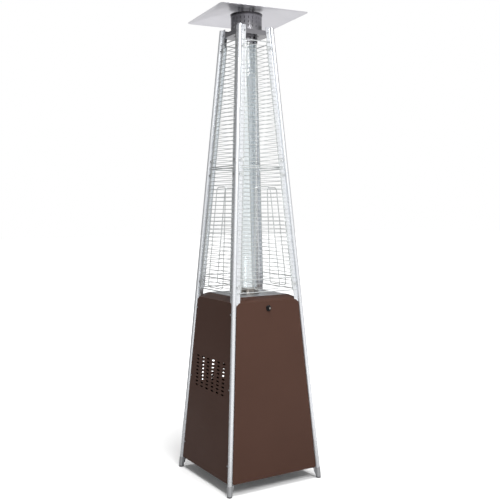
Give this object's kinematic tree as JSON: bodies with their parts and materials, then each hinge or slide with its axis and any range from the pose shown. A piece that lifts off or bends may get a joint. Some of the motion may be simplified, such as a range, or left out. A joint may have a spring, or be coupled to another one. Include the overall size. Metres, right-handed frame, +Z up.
{
  "type": "gas patio heater",
  "caption": "Free-standing pyramid gas heater: leaning corner posts, closed base with a tilting front door, glass flame tube behind wire guards, square reflector on top.",
  "frame": {"origin": "centre of the base on the floor", "axes": "+Z up; the front door and its knob face -Y; the left side panel faces -X"},
  "size_m": [0.53, 0.53, 2.3022],
  "materials": {
    "post_metal": "satin silver, nearly white",
    "brown_paint": "brown, slightly textured powder coat with a soft sheen",
    "deck_steel": "satin",
    "head_steel": "satin",
    "burner_steel": "satin",
    "inner_steel": "zinc plated",
    "screw_steel": "plated",
    "guard_wire": "bright wire",
    "mirror_metal": "polished",
    "clear_glass": "clear borosilicate",
    "foot_casting": "satin casting",
    "foot_rubber": "matt",
    "black_plastic": "matt black",
    "pale_plastic": "pale grey",
    "brass": "machined",
    "copper": "drawn copper",
    "pipe_metal": "drawn",
    "valve_casting": "die casting",
    "igniter_ceramic": "glazed white"
  },
  "bodies": {
    "frame": {"lower_post_front_left": "post_metal", "middle_post_front_left": "post_metal", "upper_post_front_left": "post_metal", "lower_post_front_right": "post_metal", "middle_post_front_right": "post_metal", "upper_post_front_right": "post_metal", "lower_post_rear_right": "post_metal", "middle_post_rear_right": "post_metal", "upper_post_rear_right": "post_metal", "lower_post_rear_left": "post_metal", "middle_post_rear_left": "post_metal", "upper_post_rear_left": "post_metal", "post_sleeves": "inner_steel", "foot_caps": "foot_casting", "foot_pads": "foot_rubber", "base_plate": "inner_steel", "left_panel": "brown_paint", "right_panel": "brown_paint", "rear_panel": "brown_paint", "door_hinge_brackets": "inner_steel", "door_hinge_pins": "inner_steel", "door_magnets": "black_plastic", "frame_screws": "screw_steel", "top_lid": "brown_paint", "burner_deck": "deck_steel", "burner_box": "inner_steel", "burner_head": "burner_steel", "burner_injector": "brass", "pilot_hood": "burner_steel", "thermocouple": "copper", "igniter_electrode": "igniter_ceramic", "gas_valve": "valve_casting", "gas_inlet": "brass", "supply_pipe": "pipe_metal", "pilot_pipe": "pipe_metal", "tilt_switch": "black_plastic", "lower_tube_ring": "burner_steel", "glass_tube": "clear_glass", "upper_tube_ring": "head_steel", "upper_glass_collar": "head_steel", "upper_plate": "head_steel", "flame_screen": "head_steel", "screen_lid": "head_steel", "reflector": "mirror_metal", "reflector_studs": "screw_steel", "reflector_nuts": "screw_steel", "lower_guard_front": "guard_wire", "upper_guard_front": "guard_wire", "lower_guard_right": "guard_wire", "upper_guard_right": "guard_wire", "lower_guard_rear": "guard_wire", "upper_guard_rear": "guard_wire", "lower_guard_left": "guard_wire", "upper_guard_left": "guard_wire"},
    "door": {"front_door": "brown_paint", "knob_bezel": "black_plastic"},
    "knob_push": {"thrust_collar": "inner_steel"},
    "knob_turn": {"knob": "black_plastic", "knob_cap": "pale_plastic", "valve_stem": "inner_steel"}
  },
  "joints": [
    {"name": "door_hinge", "type": "hinge", "parent": "frame", "child": "door", "pos_m": [0, -0.24891, 0.06003], "axis": [1, 0, 0], "range_deg": [0, 90]},
    {"name": "knob_push", "type": "slide", "parent": "frame", "child": "knob_push", "axis": [0, 0.9972, -0.0747], "range_m": [0, 0.0035], "stiffness_N_per_m": 600, "springref_m": -0.002},
    {"name": "knob_turn", "type": "hinge", "parent": "knob_push", "child": "knob_turn", "pos_m": [0, -0.19413, 0.85337], "axis": [0, -0.9972, 0.0747], "range_deg": [0, 200]}
  ]
}
